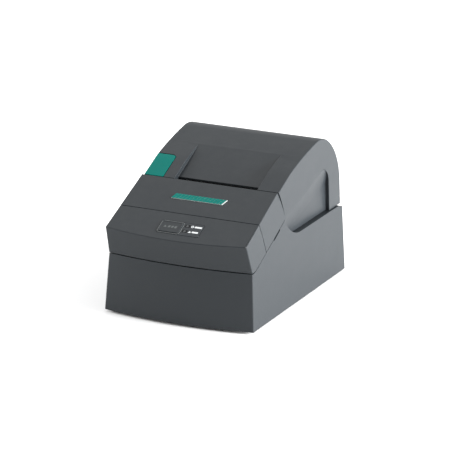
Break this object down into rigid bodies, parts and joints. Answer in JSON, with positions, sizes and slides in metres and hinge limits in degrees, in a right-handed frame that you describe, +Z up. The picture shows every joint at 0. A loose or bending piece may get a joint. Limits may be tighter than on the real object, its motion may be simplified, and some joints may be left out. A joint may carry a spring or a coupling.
{
  "type": "receipt printer",
  "caption": "Thermal receipt printer with a sloped front, a rear-hinged roll cover with a sunken paper exit, a cover release button and a paper cutter.",
  "frame": {"origin": "centre of the bounding box on the plane the feet rest on", "axes": "+Z up, +X to the printer's right side, -Y to its front, where the operator stands"},
  "size_m": [0.145, 0.2069, 0.1361],
  "materials": {
    "housing_plastic": "fine satin moulded texture, dark slate grey",
    "panel_plastic": "fine satin moulded texture, dark slate grey",
    "green_plastic": "semi-gloss green",
    "black_plastic": "matt black moulded",
    "lens": "smoked clear, polished",
    "rubber": "matt black",
    "steel": "rolled and pressed sheet",
    "zinc_plate": "bright zinc plated",
    "alloy": "extruded and cast",
    "brass": "turned",
    "nylon": "natural nylon",
    "ceramic": "glazed dark ceramic",
    "board": "green solder mask"
  },
  "bodies": {
    "base": {"base_housing": "housing_plastic", "bottom_plate": "black_plastic", "foot_front_left": "rubber", "foot_front_right": "rubber", "foot_rear_left": "rubber", "foot_rear_right": "rubber", "screw_front_left": "zinc_plate", "screw_front_right": "zinc_plate", "screw_rear_left": "zinc_plate", "screw_rear_right": "zinc_plate", "power_socket": "black_plastic", "usb_socket": "black_plastic", "drawer_socket": "black_plastic", "switch_bezel": "black_plastic", "main_board": "board", "roll_bucket": "black_plastic", "front_panel": "panel_plastic", "control_window": "black_plastic", "power_led": "lens", "error_led": "lens", "control_board": "board", "cutter_cover": "panel_plastic", "badge": "green_plastic", "chassis": "steel", "feed_motor": "alloy", "idler_stud": "steel", "head_leaf_spring": "steel", "cutter_frame": "steel", "cutter_motor": "alloy", "hinge_pin_left": "steel", "hinge_pin_right": "steel"},
    "roll_cover": {"roll_cover": "panel_plastic", "cover_liner": "black_plastic", "platen_bracket": "steel", "fixed_blade": "steel", "platen_bush_left": "brass", "platen_bush_right": "brass"},
    "platen": {"platen_roller": "rubber", "platen_shaft": "steel", "platen_gear": "nylon"},
    "idler": {"idler_gear": "nylon"},
    "pinion": {"motor_pinion": "brass"},
    "open_button": {"open_button": "green_plastic"},
    "latch": {"latch_lever": "zinc_plate"},
    "feed_button": {"feed_button": "panel_plastic"},
    "print_head": {"head_heat_sink": "alloy", "thermal_element": "ceramic"},
    "cutter_blade": {"cutter_blade": "steel"},
    "cutter_gear": {"cutter_gear": "nylon"},
    "power_switch": {"power_switch": "black_plastic"},
    "sensor_lever": {"paper_sensor_lever": "nylon"}
  },
  "joints": [
    {"name": "roll_cover_hinge", "type": "hinge", "parent": "base", "child": "roll_cover", "pos_m": [0, 0.1004, 0.0653], "axis": [-1, 0, 0], "range_deg": [0, 80]},
    {"name": "platen_spin", "type": "hinge", "parent": "roll_cover", "child": "platen", "pos_m": [0.006, -0.01601, 0.09465], "axis": [1, 0, 0], "continuous": true},
    {"name": "idler_spin", "type": "hinge", "parent": "base", "child": "idler", "pos_m": [-0.048, -0.03384, 0.07858], "axis": [1, 0, 0], "continuous": true},
    {"name": "pinion_spin", "type": "hinge", "parent": "base", "child": "pinion", "pos_m": [-0.048, -0.038, 0.058], "axis": [1, 0, 0], "continuous": true},
    {"name": "open_button_press", "type": "slide", "parent": "roll_cover", "child": "open_button", "axis": [0, 0.4099, -0.9121], "range_m": [0, 0.003], "stiffness_N_per_m": 400, "springref_m": -0.002},
    {"name": "latch_turn", "type": "hinge", "parent": "base", "child": "latch", "pos_m": [0, -0.00913, 0.07691], "axis": [-1, 0, 0], "range_deg": [0, 10.2]},
    {"name": "feed_button_press", "type": "slide", "parent": "base", "child": "feed_button", "axis": [0, 0.4099, -0.9121], "range_m": [0, 0.0012], "stiffness_N_per_m": 250, "springref_m": -0.001},
    {"name": "print_head_float", "type": "slide", "parent": "base", "child": "print_head", "axis": [0, -0.9121, -0.4099], "range_m": [0, 0.001], "stiffness_N_per_m": 2000, "springref_m": -0.001},
    {"name": "cutter_blade_slide", "type": "slide", "parent": "base", "child": "cutter_blade", "axis": [0, 0.9121, 0.4099], "range_m": [0, 0.012]},
    {"name": "cutter_gear_spin", "type": "hinge", "parent": "base", "child": "cutter_gear", "pos_m": [0.024, -0.04226, 0.08231], "axis": [-1, 0, 0], "range_deg": [0, 86]},
    {"name": "power_switch_rock", "type": "hinge", "parent": "base", "child": "power_switch", "pos_m": [-0.05, 0.096, 0.04], "axis": [-1, 0, 0], "range_deg": [0, 24]},
    {"name": "sensor_lever_tip", "type": "hinge", "parent": "base", "child": "sensor_lever", "pos_m": [0.0515, 0.03, 0.034], "axis": [0, 1, 0], "range_deg": [0, 12], "stiffness_Nm_per_rad": 0.002}
  ],
  "couplings": [
    {"joint": "idler_spin", "follows": "platen_spin", "ratio": -0.6},
    {"joint": "pinion_spin", "follows": "platen_spin", "ratio": 1.5},
    {"joint": "latch_turn", "follows": "open_button_press", "rad_per_m": 58.824},
    {"joint": "cutter_gear_spin", "follows": "cutter_blade_slide", "rad_per_m": 125}
  ]
}
